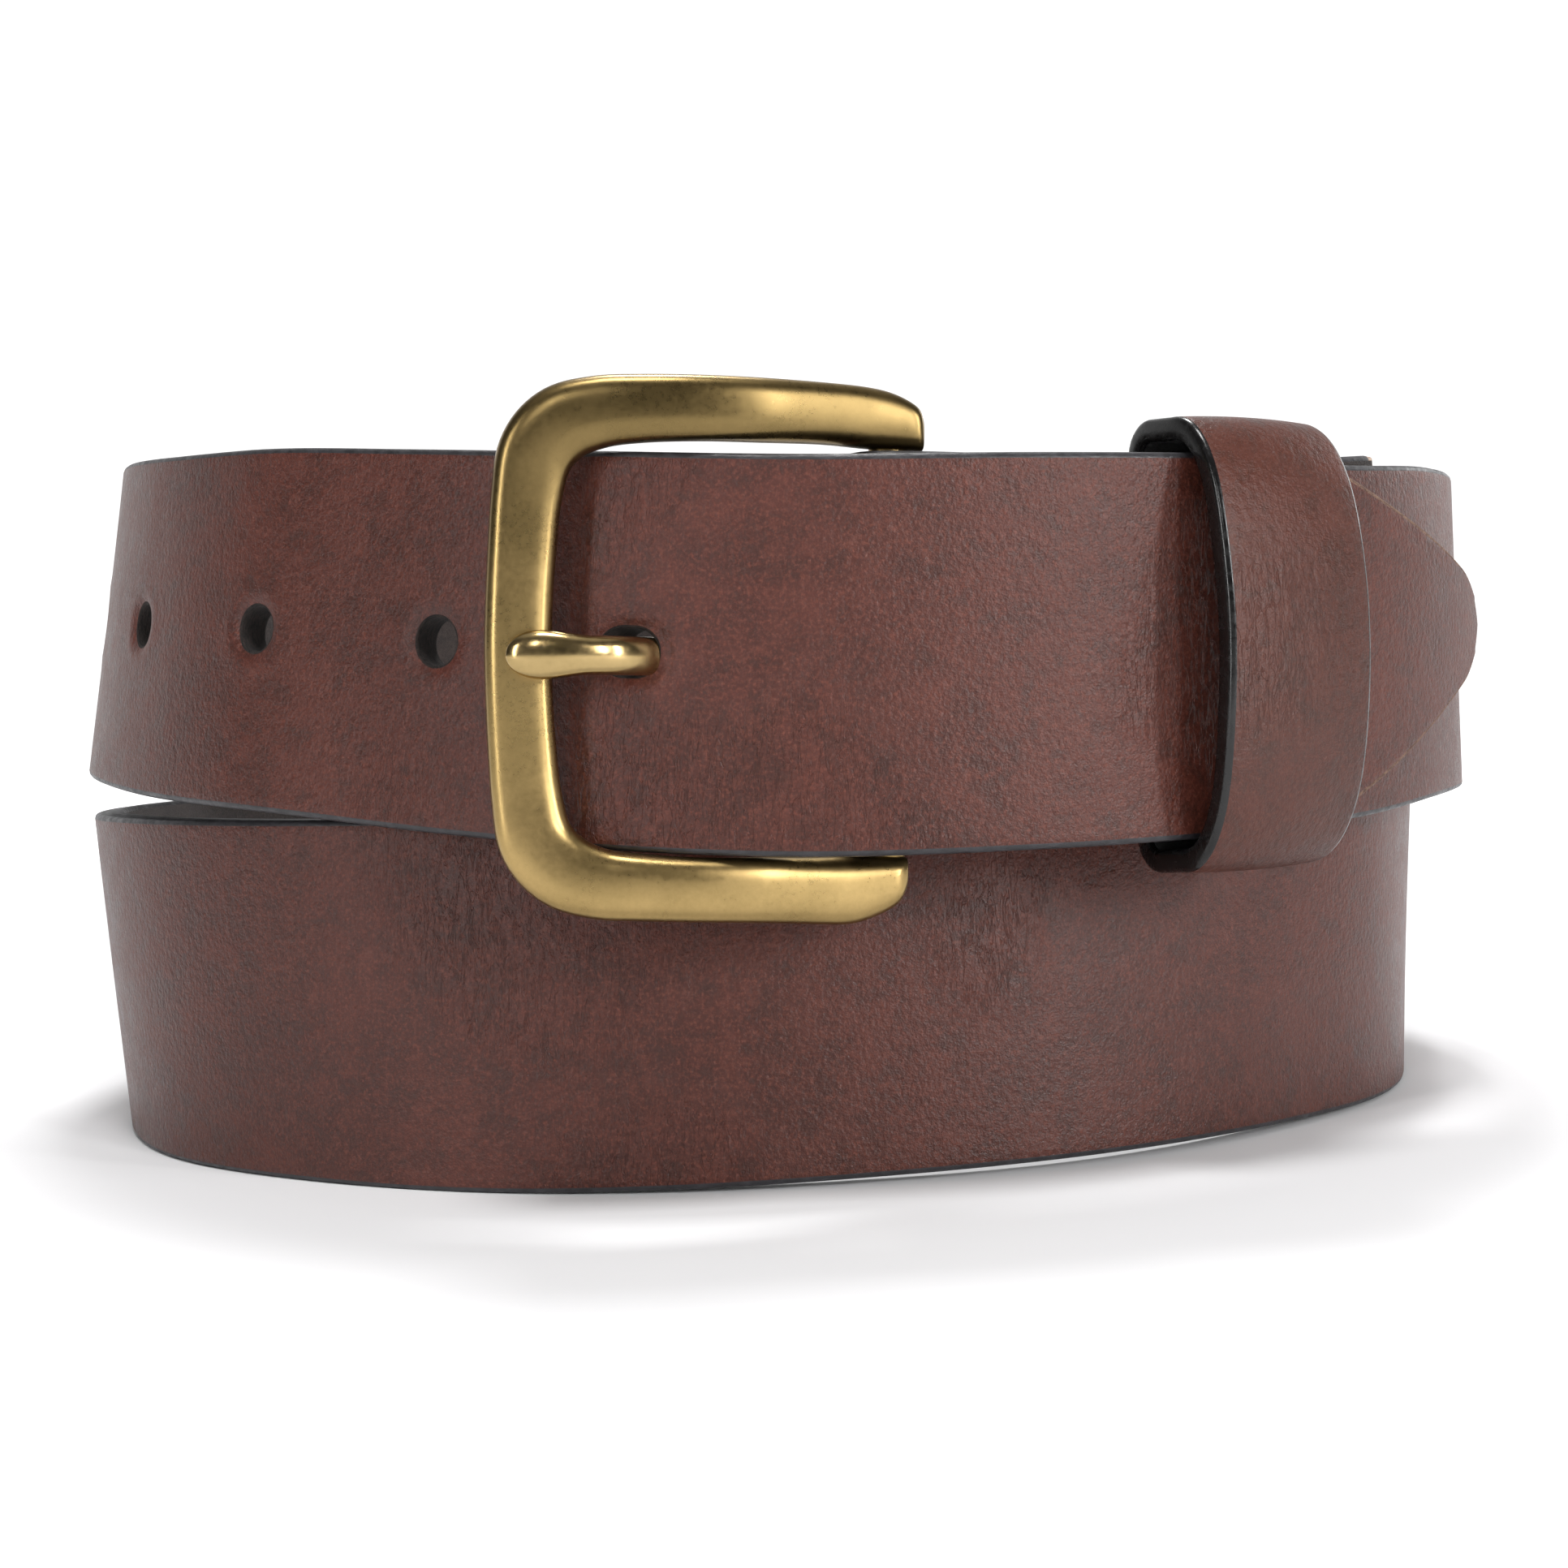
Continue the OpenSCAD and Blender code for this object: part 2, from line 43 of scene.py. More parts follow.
# ---------------------------------------------------------------- the strap's route, as in the CAD source
# winding angle, radius of the leather's middle, height of the lower edge, outward lean of the upper edge
ROUTE = np.array([
    [-76, 86.8, 36.9, 0.5], [-60, 84.8, 36.1, 1], [-45, 83.9, 34.8, 1], [-15, 83.9, 33.8, 1],
    [0, 83.9, 34, 0], [12, 83.2, 35, -1], [24, 82.2, 36.5, -2.5], [40, 81.2, 38.6, -5],
    [56, 82, 40, -7], [75, 84, 41.8, -8.5], [90, 85.2, 42.5, -8], [110, 83, 40.5, -5.5],
    [130, 79, 36, -3], [160, 76, 26.5, 0], [190, 75, 17, 1.5], [220, 77, 8, 3],
    [245, 79.5, 2, 4], [265, 78.4, -0.1, 3.8], [280, 76, -0.1, 2.8], [295, 73.8, 0.2, 1],
    [310, 71, 0.5, -0.8], [325, 69.5, 0.7, -2.5], [340, 69.3, 0.7, -3], [355, 70.2, 0.5, -3],
    [370, 73, 0.2, -2], [385, 76.5, -0.1, -0.5], [400, 80, -0.1, 0.5], [415, 83.2, -0.1, 1.5],
    [430, 84.4, -0.1, 4], [445, 84.8, -0.1, 6], [465, 85.4, -0.1, 6.5], [490, 85, 1.5, 4.5],
    [520, 83, 8, 1.5], [550, 82, 17, 0], [580, 84.5, 26, -1], [605, 86, 30.8, -1.5],
    [625, 84.3, 34.2, -1.4], [640, 82.7, 35.9, -1], [655, 81, 35.7, 0], [670, 79.9, 34.5, 0.5],
    [690, 79.9, 33.6, 0.3], [713, 79.9, 34.6, 0],
])
COIL = np.array([1.65, 2.71, 0.0])
STRAP_W = 38.1
STRAP_T = 3.5
FOLD_T = 2.4
TIP_A = -66.5
END_A = 713.0
RETURN_A = 660.0
RETURN_BEND = 672.0
RETURN_CLIMB = 1.5
RETURN_GAP = 3.1          # gap between outer layer and return layer, which the closed snaps keep
RETURN_EASE = 9.86        # winding angle over which the return layer comes to that gap
RETURN_OUT = 1.6          # the return layer's cut end springs outwards by this
THIN_FROM, THIN_OVER = 648, 24    # winding angle where the thinning begins, and its length
STEP_A = 0.25             # winding angle between two points of the spine
HEEL_R = 1.9
HEEL_PLAY = 0.1
FOLD_R = HEEL_R + HEEL_PLAY + FOLD_T / 2
FOLD_STEP = 5.0           # degrees of the fold between two points of the spine


def unit(v):
    return v / np.linalg.norm(v, axis=-1, keepdims=True)


def along(a, col):
    """Cubic interpolation through a column of the route."""
    x, y = ROUTE[:, 0], ROUTE[:, col]
    h = np.diff(x)
    d = np.diff(y) / h
    m = np.concatenate([[d[0]], (d[:-1] * h[1:] + d[1:] * h[:-1]) / (h[:-1] + h[1:]), [d[-1]]])
    i = np.clip(np.searchsorted(x, a, side="right") - 1, 0, len(x) - 2)
    t = (a - x[i]) / h[i]
    return ((2 * t**3 - 3 * t**2 + 1) * y[i] + (t**3 - 2 * t**2 + t) * h[i] * m[i]
            + (3 * t**2 - 2 * t**3) * y[i + 1] + (t**3 - t**2) * h[i] * m[i + 1])


def middle(a):
    """The middle of the leather at a winding angle."""
    r, z, lean, b = along(a, 1), along(a, 2), np.radians(along(a, 3)), np.radians(a)
    rise = STRAP_W / 2 * np.cos(lean) + STRAP_T / 2 * np.abs(np.sin(lean))
    return np.stack([COIL[0] - r * np.sin(b), COIL[1] - r * np.cos(b), z + rise], -1)


def axes(a):
    """Directions along the strap, across its width and out of its grain face."""
    a = np.atleast_1d(np.asarray(a, float))
    f = unit(middle(a + 0.5) - middle(a - 0.5))
    out = unit(np.stack([-f[:, 1], f[:, 0], 0 * a], -1))
    lean = np.radians(along(a, 3))[:, None]
    w = np.array([0, 0, 1.0]) * np.cos(lean) + out * np.sin(lean)
    w = unit(w - (w * f).sum(1, keepdims=True) * f)
    return f, w, np.cross(w, f)


def smooth(x):
    """A soft step from 0 to 1."""
    x = np.clip(x, 0, 1)
    return x * x * (3 - 2 * x)


end_f, end_w, end_n = (v[0] for v in axes(END_A - 1))
HEEL = middle(np.array([END_A]))[0] - end_n * FOLD_R


def build_spine():
    """The strap's middle line from the tip round the coil, the fold and the return layer."""
    a = np.arange(TIP_A, END_A - 0.9, STEP_A)
    f, w, n = axes(a)
    p = middle(a)
    t = STRAP_T + (FOLD_T - STRAP_T) * np.clip((a - THIN_FROM) / THIN_OVER, 0, 1)
    g = np.radians(np.arange(FOLD_STEP, 180, FOLD_STEP))[:, None]
    gn = end_n * np.cos(g) + end_f * np.sin(g)
    b = np.arange(END_A - 1.25, RETURN_A - 0.01, -STEP_A)
    bf, bw, bn = axes(b)
    back = END_A - 1 - b
    deep = 2 * FOLD_R + (FOLD_T + RETURN_GAP - 2 * FOLD_R) * smooth(back / RETURN_EASE)
    deep -= RETURN_OUT * smooth((RETURN_BEND - b) / (RETURN_BEND - RETURN_A))
    climb = RETURN_CLIMB * back / back[-1]
    pos = np.concatenate([p, HEEL + gn * FOLD_R, middle(b) - bn * deep[:, None] + bw * climb[:, None]])
    wid = np.concatenate([w, np.repeat(end_w[None], len(g), 0), bw])
    nor = np.concatenate([n, gn, -bn])
    thick = np.concatenate([t, np.full(len(g) + len(b), FOLD_T)])
    ang = np.concatenate([a, np.full(len(g), END_A), b])
    s = np.concatenate([[0], np.cumsum(np.linalg.norm(np.diff(pos, axis=0), axis=1))])
    return s, pos, wid, nor, thick, ang, len(a), len(a) + len(g) - 1


SP_S, SP_P, SP_W, SP_N, SP_T, SP_A, FOLD_I, FOLD_END = build_spine()
LENGTH = SP_S[-1]


def s_at(a):
    """Distance from the tip at a winding angle of the outer run."""
    return float(np.interp(a, SP_A[:FOLD_I], SP_S[:FOLD_I]))


def look(table, s):
    """A row of one of the spine's tables at a distance from the tip."""
    return np.stack([np.interp(s, SP_S, table[:, k]) for k in range(3)], -1)


CALM_FROM, CALM_A = 95, 620     # the waves begin this far from the tip and end before this winding angle
DIP, DIP_A = 1.9, (12.4, 46)    # depth of the dip by the front bar, and the winding angles where it begins and ends


def bend(s, w, n):
    """Flat leather to its place in the coil, in millimetres."""
    p, wd, nr = look(SP_P, s), unit(look(SP_W, s)), unit(look(SP_N, s))
    # long, low waves of soft leather, none at the fold or near the buckle
    calm = smooth((s - CALM_FROM) / 40) * smooth((s_at(CALM_A) - s) / 60)
    wave = 0.22 * np.sin(s / 17.3 + w / 29) + 0.14 * np.sin(s / 9.1 - w / 14 + 1.3)
    # the front bar holds the tail down, so the leather drops away just past the hole in use
    dip = DIP * smooth((s - s_at(DIP_A[0])) / 7) * smooth((s_at(DIP_A[1]) - s) / 24)
    return p + wd * w[:, None] + nr * (n + calm * wave - dip)[:, None]


# ---------------------------------------------------------------- materials
class Nodes:
    """A short way to write a material's node tree."""

    def __init__(self, name):
        self.material = bpy.data.materials.new(name)
        self.material.use_nodes = True
        self.tree = self.material.node_tree
        self.shader = self.tree.nodes["Principled BSDF"]

    def add(self, kind, **settings):
        node = self.tree.nodes.new(kind)
        for key, value in settings.items():
            setattr(node, key, value)
        return node

    def link(self, source, target):
        self.tree.links.new(source, target)

    def flat(self):
        return self.add("ShaderNodeAttribute", attribute_name="flat").outputs["Vector"]

    def place(self):
        return self.add("ShaderNodeTexCoord").outputs["Object"]

    def scaled(self, vector, scale):
        node = self.add("ShaderNodeMapping")
        node.inputs["Scale"].default_value = scale
        self.link(vector, node.inputs["Vector"])
        return node.outputs["Vector"]

    def noise(self, vector, scale, detail=3.0, rough=0.55, warp=0.0):
        node = self.add("ShaderNodeTexNoise")
        self.link(vector, node.inputs["Vector"])
        for key, value in (("Scale", scale), ("Detail", detail), ("Roughness", rough), ("Distortion", warp)):
            node.inputs[key].default_value = value
        return node.outputs["Fac"]

    def cells(self, vector, scale):
        node = self.add("ShaderNodeTexVoronoi", feature="SMOOTH_F1")
        self.link(vector, node.inputs["Vector"])
        node.inputs["Scale"].default_value = scale
        return node.outputs["Distance"]

    def spread(self, value, low, high, out_low=0.0, out_high=1.0):
        node = self.add("ShaderNodeMapRange", interpolation_type="SMOOTHSTEP")
        self.link(value, node.inputs["Value"])
        for key, v in (("From Min", low), ("From Max", high), ("To Min", out_low), ("To Max", out_high)):
            node.inputs[key].default_value = v
        return node.outputs["Result"]

    def math(self, operation, a, b):
        node = self.add("ShaderNodeMath", operation=operation)
        for socket, v in zip(node.inputs, (a, b)):
            if isinstance(v, (int, float)):
                socket.default_value = v
            else:
                self.link(v, socket)
        return node.outputs[0]

    def mix(self, factor, a, b):
        node = self.add("ShaderNodeMix", data_type="RGBA")
        self.link(factor, node.inputs["Factor"])
        for socket, v in ((node.inputs[6], a), (node.inputs[7], b)):
            if isinstance(v, tuple):
                socket.default_value = (*v, 1)
            else:
                self.link(v, socket)
        return node.outputs[2]

    def height(self, vector):
        node = self.add("ShaderNodeSeparateXYZ")
        self.link(vector, node.inputs["Vector"])
        return node.outputs["Z"]

    def colour(self, value):
        self.link(value, self.shader.inputs["Base Color"])

    def rough(self, value):
        self.link(value, self.shader.inputs["Roughness"])

    def bump(self, height, distance, strength=1.0):
        node = self.add("ShaderNodeBump")
        node.inputs["Distance"].default_value = distance
        node.inputs["Strength"].default_value = strength
        self.link(height, node.inputs["Height"])
        self.link(node.outputs["Normal"], self.shader.inputs["Normal"])

    def set(self, **values):
        for key, value in values.items():
            self.shader.inputs[key.replace("_", " ")].default_value = value


def grain_leather(name, dark, light, red):
    """Smooth full-grain leather: mottled colour, fine pebbles, hair-thin creases and a broken sheen."""
    m = Nodes(name)
    at = m.flat()
    cloud = m.noise(at, 0.045, 3, 0.5, 0.4)
    blot = m.noise(at, 0.32, 4, 0.6, 0.3)
    fleck = m.noise(at, 2.3, 3, 0.7)
    dust = m.noise(m.scaled(at, (4.2, 2.6, 3)), 1.0, 2, 0.6)
    tone = m.math("ADD", m.math("MULTIPLY", cloud, 0.45), m.math("MULTIPLY", blot, 0.55))
    patch = m.noise(at, 0.85, 3, 0.6, 0.4)
    base = m.mix(m.spread(tone, 0.36, 0.64), dark, light)
    base = m.mix(m.spread(m.math("ADD", fleck, m.math("MULTIPLY", dust, 0.6)), 0.7, 1.2), base, red)
    base = m.mix(m.spread(patch, 0.52, 0.72, 0, 0.28), base, red)
    # a greyer cast in patches
    ash = m.spread(m.math("ADD", m.math("MULTIPLY", blot, 0.5), m.math("MULTIPLY", patch, 0.5)), 0.36, 0.5, 0.5, 0)
    m.colour(m.mix(ash, base, (dark[0] * 0.95, dark[1] * 1.4, dark[2] * 1.6)))
    m.rough(m.spread(m.math("ADD", m.math("MULTIPLY", fleck, 0.6), m.math("MULTIPLY", blot, 0.4)),
                     0.3, 0.7, 0.30, 0.46))
    pebble = m.cells(m.scaled(at, (1.9, 1.5, 1.6)), 1.0)
    pores = m.noise(at, 4.4, 2, 0.6)
    crease = m.noise(m.scaled(at, (1.5, 0.28, 1)), 1.0, 3, 0.55, 0.8)
    line = m.spread(m.math("ABSOLUTE", m.math("SUBTRACT", crease, 0.5), 0), 0.0, 0.035)
    where = m.spread(m.noise(at, 0.03, 1, 0.5), 0.5, 0.62)
    worn = m.math("MULTIPLY", m.math("SUBTRACT", line, 1.0), where)
    height = m.math("ADD", m.math("MULTIPLY", pebble, 0.5), m.math("MULTIPLY", pores, 0.5))
    height = m.math("ADD", height, m.math("MULTIPLY", worn, 0.35))
    height = m.math("ADD", height, m.math("MULTIPLY", blot, 0.5))
    m.bump(height, 0.00019, 0.95)
    m.set(Specular_IOR_Level=0.36, IOR=1.5)
    return m.material


def painted_edge(name, shade, rough, relief):
    """Thick edge paint with the burnished fibres showing through as fine ridges."""
    m = Nodes(name)
    at = m.flat()
    ridge = m.noise(m.scaled(at, (0.6, 0.6, 2.4)), 1.0, 4, 0.6)
    m.colour(m.mix(m.spread(ridge, 0.35, 0.75), shade, tuple(2.2 * c for c in shade)))
    m.rough(m.spread(m.noise(at, 1.1, 3, 0.6), 0.3, 0.7, rough - 0.08, rough + 0.12))
    m.bump(ridge, relief, 0.8)
    return m.material


def flesh_side(name, dark, light):
    """The leather's suede-like inner face."""
    m = Nodes(name)
    at = m.flat()
    nap = m.noise(at, 2.6, 4, 0.75)
    cloud = m.noise(at, 0.12, 3, 0.6)
    m.colour(m.mix(m.spread(m.math("ADD", m.math("MULTIPLY", nap, 0.6), m.math("MULTIPLY", cloud, 0.4)),
                            0.35, 0.68), dark, light))
    m.set(Roughness=0.92, Sheen_Weight=0.15, Sheen_Roughness=0.5)
    m.bump(nap, 0.0003, 0.9)
    return m.material


def raw_edge(name, dark, light):
    """Leather cut and left bare, with loose fibres."""
    m = Nodes(name)
    at = m.flat()
    fibre = m.noise(m.scaled(at, (1.0, 1.0, 5.0)), 1.2, 4, 0.7, 0.5)
    m.colour(m.mix(m.spread(fibre, 0.35, 0.66), dark, light))
    m.set(Roughness=0.95)
    m.bump(fibre, 0.0003, 0.9)
    return m.material


def antique_brass(name, dark, bright, rough, painted_top_shade=0.0):
    """Satin antique brass, brown-green and rubbed bright in patches; painted_top_shade darkens the colour towards
    the top as painted shade, standing in for the darker reflection on the top bar.
    """
    m = Nodes(name)
    at = m.place()
    cloud = m.noise(at, 90, 4, 0.6, 0.3)
    speck = m.noise(at, 1700, 3, 0.7)
    brush = m.noise(m.scaled(at, (500, 500, 2600)), 1.0, 3, 0.6)
    tone = m.math("ADD", m.math("MULTIPLY", cloud, 0.7), m.math("MULTIPLY", speck, 0.3))
    pit = m.spread(m.noise(at, 2600, 2, 0.6), 0.6, 0.8, 0.0, 0.16)
    rubbed = m.mix(m.spread(tone, 0.16, 0.8), dark, bright)
    rubbed = m.mix(pit, rubbed, tuple(0.45 * c for c in dark))
    # painted shade: the colour darkens with height in metres above the floor, from the middle of the buckle to just
    # under its top bar's upper face, in place of the darker reflection on the top bar
    depth = m.spread(m.height(at), 0.050, 0.078, 0.0, painted_top_shade)
    m.colour(m.mix(depth, rubbed, tuple(0.3 * c for c in dark)))
    m.rough(m.spread(m.math("ADD", m.math("MULTIPLY", cloud, 0.5), m.math("MULTIPLY", speck, 0.5)),
                     0.3, 0.7, rough - 0.04, rough + 0.04))
    m.bump(m.math("ADD", m.math("MULTIPLY", speck, 0.7), m.math("MULTIPLY", brush, 0.3)), 0.00002, 0.22)
    m.set(Metallic=1.0)
    return m.material


grain = grain_leather("strap_grain", (0.046, 0.0112, 0.0070), (0.074, 0.0185, 0.0118), (0.150, 0.0430, 0.0270))
keeper_grain = grain_leather("keeper_grain", (0.047, 0.0118, 0.0064), (0.070, 0.0180, 0.0104),
                             (0.110, 0.0330, 0.0190))
edge_paint = painted_edge("edge_paint", (0.016, 0.0150, 0.0170), 0.42, 0.00015)
keeper_paint = painted_edge("keeper_paint", (0.0035, 0.0032, 0.0032), 0.2, 0.00001)
flesh = flesh_side("flesh", (0.018, 0.013, 0.012), (0.06, 0.042, 0.036))
keeper_flesh = flesh_side("keeper_flesh", (0.006, 0.006, 0.006), (0.03, 0.028, 0.027))
tip_edge = raw_edge("tip_edge", (0.075, 0.036, 0.024), (0.20, 0.118, 0.080))
# the holes' walls are near black, far darker than the bare cut leather at the tip: painted shade inside the holes
hole_wall_painted_shade = raw_edge("hole_wall_painted_shade", (0.006, 0.0045, 0.004), (0.026, 0.017, 0.014))
cut_edge = raw_edge("cut_edge", (0.3, 0.2, 0.15), (0.62, 0.48, 0.38))
# the buckle's brass darkens towards its top bar by 0.62: painted shade
brass = antique_brass("buckle_brass", (0.28, 0.196, 0.076), (0.46, 0.320, 0.132), 0.3, 0.62)
prong_brass = antique_brass("prong_brass", (0.34, 0.245, 0.105), (0.54, 0.390, 0.180), 0.2)
snap_brass = antique_brass("snap_brass", (0.22, 0.156, 0.065), (0.38, 0.270, 0.120), 0.36)
steel = antique_brass("staple_wire", (0.32, 0.32, 0.33), (0.6, 0.6, 0.61), 0.36)


# ---------------------------------------------------------------- meshes
def make(name, points, faces, materials, kinds, flat, body, slot, *nodes):
    """A smooth mesh piece from points in millimetres, riding on a body and standing for CAD nodes."""
    data = bpy.data.meshes.new(name)
    data.from_pydata((np.asarray(points) * MM).tolist(), [], faces)
    for material in materials:
        data.materials.append(material)
    data.polygons.foreach_set("material_index", np.asarray(kinds, np.int32))
    data.polygons.foreach_set("use_smooth", np.ones(len(faces), bool))
    if flat is not None:
        data.attributes.new("flat", "FLOAT_VECTOR", "POINT").data.foreach_set(
            "vector", np.asarray(flat, np.float32).ravel())
    data.validate()
    mesh = bmesh.new()
    mesh.from_mesh(data)
    bmesh.ops.recalc_face_normals(mesh, faces=mesh.faces)
    mesh.to_mesh(data)
    mesh.free()
    data.update()
    obj = bpy.data.objects.new(name, data)
    bpy.context.scene.collection.objects.link(obj)
    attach(obj, body)
    if nodes:
        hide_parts(*nodes)
    return obj


def steps(marks, size):
    """Evenly divided stretches between marks, none longer than size."""
    out = [marks[0]]
    for a, b in zip(marks[:-1], marks[1:]):
        n = max(1, math.ceil((b - a) / size - 1e-6))
        out += [a + (b - a) * k / n for k in range(1, n + 1)]
    return np.array(out)


NOSE_HALF, NOSE_LEN, TIP_FLANK = 4.1, 7.0, 40.0


def half_at(d):
    """The strap's half-width at a distance from the tip."""
    d = np.asarray(d, float)
    flank = NOSE_HALF + (STRAP_W / 2 - NOSE_HALF) * d / TIP_FLANK
    return np.minimum(STRAP_W / 2, flank) * np.sqrt(1 - (1 - np.clip((d + 0.15) / NOSE_LEN, 0, 1)) ** 2)


HOLE_R = 2.4
BLOCK = 5.0         # half the height, and the reach past a hole's ends, of the grid's patch round a hole
EDGE_R = 0.6        # rounding of the strap's edges
HOLE_EDGE_R = 0.3   # rounding of the holes' rims
SLOT_FRONT, SLOT_BACK, SLOT_R = 13.0, 9.0, 2.8
HOLES = [dict(at=s_at(a), half=0.0, r=HOLE_R, shift=0.0) for a in (25.6, 42.9, 61.3, 79.5)]
HOLES.append(dict(at=s_at(9.9), half=0.5, r=HOLE_R - 0.15, shift=0.9))
SLOT_FROM, SLOT_TO = SP_S[FOLD_I] - SLOT_FRONT, SP_S[FOLD_END] + SLOT_BACK
HOLES.append(dict(at=(SLOT_FROM + SLOT_TO) / 2, half=(SLOT_TO - SLOT_FROM) / 2, r=SLOT_R, shift=0.0))
HOLES.sort(key=lambda h: h["at"])


def flat_pattern(side):
    """The leather's flat outline with its holes. Returns points (s, w), faces, and the loops of edge points."""
    inset = EDGE_R
    block = BLOCK / (STRAP_W / 2 - inset)
    first, early_to = 2.2, 14.0
    marks = [first, early_to, TIP_FLANK]
    for h in HOLES:
        marks += [h["at"] - h["half"] - BLOCK, h["at"] + h["half"] + BLOCK]
    marks.append(LENGTH - inset)
    cols = steps(marks, 0.95)
    rows = steps([-1.0, -block, block, 1.0], 0.0475)
    # the first columns follow the rounded nose and straighten further back
    nose = 1.3
    nose_half = float(half_at(nose)) - inset
    d_table = np.linspace(0, nose, 200)
    arc = np.interp(np.abs(rows) * nose_half, half_at(d_table) - half_at(0), d_table)
    half = half_at(cols) - inset
    early = np.clip((early_to - cols) / (early_to - first), 0, 1) ** 1.5
    s = cols[:, None] + early[:, None] * (arc - arc.max())[None]
    w = half[:, None] * rows[None]
    n_c, n_r = s.shape
    points = np.stack([s.ravel(), w.ravel()], -1).tolist()
    faces, loops = [], []
    blocked = np.zeros((n_c - 1, n_r - 1), bool)
    for h in HOLES:
        c0 = int(np.argmin(abs(cols - (h["at"] - h["half"] - BLOCK))))
        c1 = int(np.argmin(abs(cols - (h["at"] + h["half"] + BLOCK))))
        r0 = int(np.argmin(abs(rows + block)))
        r1 = int(np.argmin(abs(rows - block)))
        blocked[c0:c1, r0:r1] = True
        ring = [(c, r0) for c in range(c0, c1)] + [(c1, r) for r in range(r0, r1)]
        ring += [(c, r1) for c in range(c1, c0, -1)] + [(c0, r) for r in range(r1, r0, -1)]
        ids = [c * n_r + r for c, r in ring]
        mid = h["at"] + side * h["shift"]
        outer = np.array([points[i] for i in ids])
        x = np.clip(outer[:, 0], mid - h["half"], mid + h["half"])
        away = unit(outer - np.stack([x, 0 * x], -1))
        rim = h["r"] + HOLE_EDGE_R
        base = np.stack([x, 0 * x], -1) + away * rim
        previous = ids
        for k in (0.72, 0.48, 0.3, 0.17, 0.07, 0.0):
            new = base * (1 - k) + outer * k
            start = len(points)
            points += new.tolist()
            now = list(range(start, start + len(ids)))
            for j in range(len(ids)):
                j2 = (j + 1) % len(ids)
                faces.append([previous[j], previous[j2], now[j2], now[j]])
            previous = now
        loops.append(dict(ids=previous, out=-away, r=HOLE_EDGE_R, hole=h))
    for c in range(n_c - 1):
        for r in range(n_r - 1):
            if not blocked[c, r]:
                i = c * n_r + r
                faces.append([i, i + n_r, i + n_r + 1, i + 1])
    rim = [c * n_r for c in range(n_c)] + [(n_c - 1) * n_r + r for r in range(1, n_r)]
    rim += [c * n_r + n_r - 1 for c in range(n_c - 2, -1, -1)] + [r for r in range(n_r - 2, 0, -1)]
    edge = np.array([points[i] for i in rim])
    tangent = np.roll(edge, -1, 0) - np.roll(edge, 1, 0)
    loops.append(dict(ids=rim, out=unit(np.stack([tangent[:, 1], -tangent[:, 0]], -1)), r=inset, hole=None))
    return np.array(points), faces, loops


def pressed(points):
    """How far the grain face is pressed in round the punched holes, in millimetres."""
    sink = np.zeros(len(points))
    for h in HOLES[:5]:
        x = np.clip(points[:, 0], h["at"] - h["half"], h["at"] + h["half"])
        d = np.hypot(points[:, 0] - x, points[:, 1]) - h["r"]
        sink += 0.38 * np.exp(-(np.maximum(d, 0) / 0.75) ** 2) - 0.07 * np.exp(-((d - 2.0) / 0.8) ** 2)
    return sink


GRAIN, FLESH, EDGE, TIP, CUT, HOLE = range(6)


def strap():
    """The strap: grain and flesh faces joined by rounded edges, at the outline and in every hole."""
    front, faces, loops = flat_pattern(1)
    back, _, back_loops = flat_pattern(-1)
    n = len(front)
    t = np.interp(front[:, 0], SP_S, SP_T)
    tb = np.interp(back[:, 0], SP_S, SP_T)
    flat = [np.column_stack([front, t / 2 - pressed(front)]), np.column_stack([back, -tb / 2])]
    polys = faces + [[i + n for i in reversed(f)] for f in faces]
    kinds = [GRAIN] * len(faces) + [FLESH] * len(faces)
    total = 2 * n
    for loop, twin in zip(loops, back_loops):
        ids, other, r = loop["ids"], twin["ids"], loop["r"]
        f, b = flat[0][ids], flat[1][other]
        rings = []
        turns = (30, 60, 90)
        for g in turns:
            g = math.radians(g)
            rings.append(np.column_stack([f[:, :2] + loop["out"] * r * math.sin(g),
                                          f[:, 2] - r * (1 - math.cos(g))]))
        for k in (0.33, 0.67):
            a, c = rings[2], np.column_stack([b[:, :2] + twin["out"] * r, b[:, 2] + r])
            rings.append(a * (1 - k) + c * k)
        for g in reversed(turns):
            g = math.radians(g)
            rings.append(np.column_stack([b[:, :2] + twin["out"] * r * math.sin(g),
                                          b[:, 2] + r * (1 - math.cos(g))]))
        previous = list(ids)
        m = len(ids)
        for ring in rings + [None]:
            if ring is None:
                now = [i + n for i in other]
            else:
                now = list(range(total, total + m))
                flat.append(ring)
                total += m
            for j in range(m):
                j2 = (j + 1) % m
                polys.append([previous[j], now[j], now[j2], previous[j2]])
                where = front[ids[j]][0]
                if loop["hole"] is not None:
                    kinds.append(HOLE)
                elif where > LENGTH - 1.2:
                    kinds.append(CUT)
                else:
                    kinds.append(TIP if where < TIP_FLANK - 3 else EDGE)
            previous = now
    flat = np.concatenate(flat)
    points = bend(flat[:, 0], flat[:, 1], flat[:, 2])
    materials = [grain, flesh, edge_paint, tip_edge, cut_edge, hole_wall_painted_shade]
    return make("belt_strap", points, polys, materials, kinds, flat, "belt", "strap_leather", "strap")


strap()


def on_heel(p):
    """From the buckle's own axes (towards the front bar, outwards, up the heel bar) to the row's."""
    p = np.asarray(p, float)
    return HEEL + p[..., :1] * end_f + p[..., 1:2] * end_n + p[..., 2:3] * end_w


def skin(rings, base=0):
    """Faces of a tube through rings of equal size, closed at both ends."""
    n = len(rings[0])
    faces = [list(range(base, base + n))[::-1]]
    for i in range(len(rings) - 1):
        for k in range(n):
            a, b, k2 = base + i * n, base + (i + 1) * n, (k + 1) % n
            faces.append([a + k, a + k2, b + k2, b + k])
    faces.append(list(range(base + (len(rings) - 1) * n, base + len(rings) * n)))
    return faces


